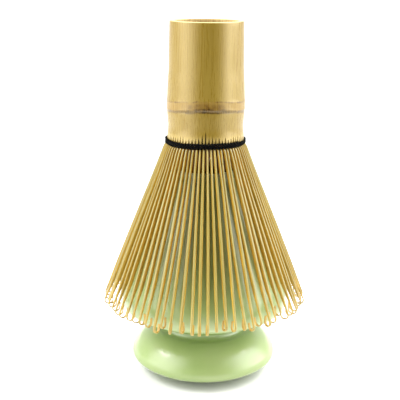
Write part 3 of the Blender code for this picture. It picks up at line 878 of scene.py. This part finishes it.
def thread_centres():
    """The thread's middle line: nearly four turns that rise over each tine and dip between them."""
    steps = round(THREAD_TURNS * TINE_COUNT * 8)
    turns = np.linspace(0, THREAD_TURNS, steps + 1)
    angles = turns * TURN
    row = np.floor(turns)
    weave = np.cos(angles * TINE_COUNT + math.pi * (row + 1))
    wander = 0.1 * np.sin(angles + 0.8) + 0.09 * np.sin(4 * angles + 1.0) + 0.05 * np.sin(11 * angles + row)
    radii = THREAD_RADIUS - THREAD_WEAVE + THREAD_WEAVE * weave
    spread = (turns - THREAD_TURNS / 2) * THREAD_PITCH * (1 - 0.1 * np.sin(angles))
    heights = THREAD_HEIGHT + spread + wander + THREAD_SCALLOP * np.sin(angles * TINE_COUNT + row)
    return np.stack([radii * np.cos(angles), radii * np.sin(angles), heights], 1)


def ply(centres, phase):
    """One of the thread's plies: a round strand that winds round the thread's middle line."""
    ahead = unit(np.gradient(centres, axis=0))
    out = unit(centres * (1, 1, 0))
    up = np.cross(ahead, out)
    lay = lengths_along(centres) / PLY_LAY * TURN + phase
    middle = centres + PLY_OFFSET * (np.cos(lay)[:, None] * out + np.sin(lay)[:, None] * up)
    around = np.arange(PLY_SIDES) * TURN / PLY_SIDES
    across = np.cos(around)[None, :, None] * out[:, None] + np.sin(around)[None, :, None] * up[:, None]
    rings = middle[:, None] + PLY_RADIUS * across
    return rings.reshape(-1, 3), tube_faces(len(centres), PLY_SIDES)


def make_thread(surface):
    """The twisted thread, as one piece."""
    centres = thread_centres()
    points, faces = [], []
    for index in range(PLY_COUNT):
        ply_points, ply_faces = ply(centres, index * TURN / PLY_COUNT)
        start = sum(len(part) for part in points)
        points.append(ply_points)
        faces += [tuple(start + corner for corner in face) for face in ply_faces]
    thread = add_piece(
        "twisted_thread", np.vstack(points), faces, surface, ["binding_thread"], sharp=80
    )
    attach(thread, "whisk")


def make_stage():
    """A wide pale floor just under the holder's foot, which stops a little way in front of it."""
    rows = (-FLOOR_FRONT, FLOOR_REACH)
    corners = [(x, y, FLOOR_LEVEL) for y in rows for x in (-FLOOR_REACH, FLOOR_REACH)]
    mesh = bpy.data.meshes.new("pale_floor")
    mesh.from_pydata(corners, [], [(0, 1, 3, 2)])
    paint = Shader("pale_floor")
    paint.set(Base_Color=linear((FLOOR_SHADE,) * 3), Roughness=0.9)
    mesh.materials.append(paint.material)
    floor = bpy.data.objects.new("pale_floor", mesh)
    bpy.context.scene.collection.objects.link(floor)


def add_softbox(name, place, power):
    data = bpy.data.lights.new(name, "AREA")
    data.shape = "RECTANGLE"
    data.size, data.size_y = SOFTBOX_SIZE
    data.energy = power
    light = bpy.data.objects.new(name, data)
    light.location = place
    light.rotation_euler = (Vector(SOFTBOX_AIM) - Vector(place)).to_track_quat("-Z", "Y").to_euler()
    bpy.context.scene.collection.objects.link(light)


def light_studio():
    """Bright soft walls at both sides, a dim opening in front, two softboxes, and plain white behind."""
    world = bpy.data.worlds.new("studio")
    bpy.context.scene.world = world
    world.use_nodes = True
    made = Nodes(world.node_tree)
    place = made.add("ShaderNodeTexCoord", {}).outputs["Generated"]
    x, y, z = made.add("ShaderNodeSeparateXYZ", {0: place}).outputs
    azimuth = made.maths("ARCTAN2", x, made.maths("MULTIPLY", y, -1.0))
    aside = made.maths("ABSOLUTE", made.maths("SUBTRACT", azimuth, STUDIO_AXIS))
    walls = made.range(aside, *WALL_STARTS, DIM_LIGHT, WALL_LIGHT)
    around = made.maths("ADD", walls, made.range(aside, *WALL_ENDS, 0.0, BACK_LIGHT - WALL_LIGHT))
    tilted = made.maths("MULTIPLY", around, made.maths("ADD", made.maths("MULTIPLY", x, RIGHT_GAIN), 1.0))
    seen = made.add("ShaderNodeLightPath", {}).outputs["Is Camera Ray"]
    strength = made.maths("MAXIMUM", made.range(z, *TOP_STARTS, tilted, TOP_LIGHT), seen)
    made.fill(made.tree.nodes["Background"], {"Color": (1, 1, 1, 1), "Strength": strength})
    add_softbox("left_softbox", LEFT_PLACE, LEFT_POWER)
    add_softbox("right_softbox", RIGHT_PLACE, RIGHT_POWER)


def make_camera():
    data = bpy.data.cameras.new("camera")
    data.lens = CAMERA_LENS
    data.sensor_width = CAMERA_SENSOR
    data.clip_start = 0.01
    camera = bpy.data.objects.new("camera", data)
    camera.location = CAMERA_PLACE
    pitch = Matrix.Rotation(math.radians(90 - CAMERA_PITCH), 3, "X")
    camera.rotation_euler = (pitch @ Matrix.Rotation(math.radians(CAMERA_ROLL), 3, "Z")).to_euler()
    bpy.context.scene.collection.objects.link(camera)
    bpy.context.scene.camera = camera


def main():
    random = np.random.default_rng(RANDOM_SEED)
    make_camera()
    light_studio()
    make_stage()
    bpy.context.scene.view_settings.view_transform = "Standard"
    make_holder(celadon_glaze())
    make_handle(handle_bamboo(), random)
    outer = split_bamboo(
        "tine_bamboo",
        skin_colour=linear((152, 143, 82)),
        side_colour=linear((206, 163, 54)),
        tip_glow_colour=linear((184, 154, 72)),
        darkness=linear((142, 118, 36)),
    )
    # Painted shade: the inner tines are coloured darker brown than the outer ones, standing for the deep
    # shade inside the whisk.
    inner = split_bamboo(
        "inner_bamboo",
        skin_colour=linear((140, 94, 26)),
        side_colour=linear((110, 68, 14)),
        tip_glow_colour=linear((156, 112, 36)),
        darkness=linear((84, 52, 10)),
    )
    make_outer_tines(outer, random)
    make_inner_tines(inner, random)
    make_thread(black_cotton())


main()
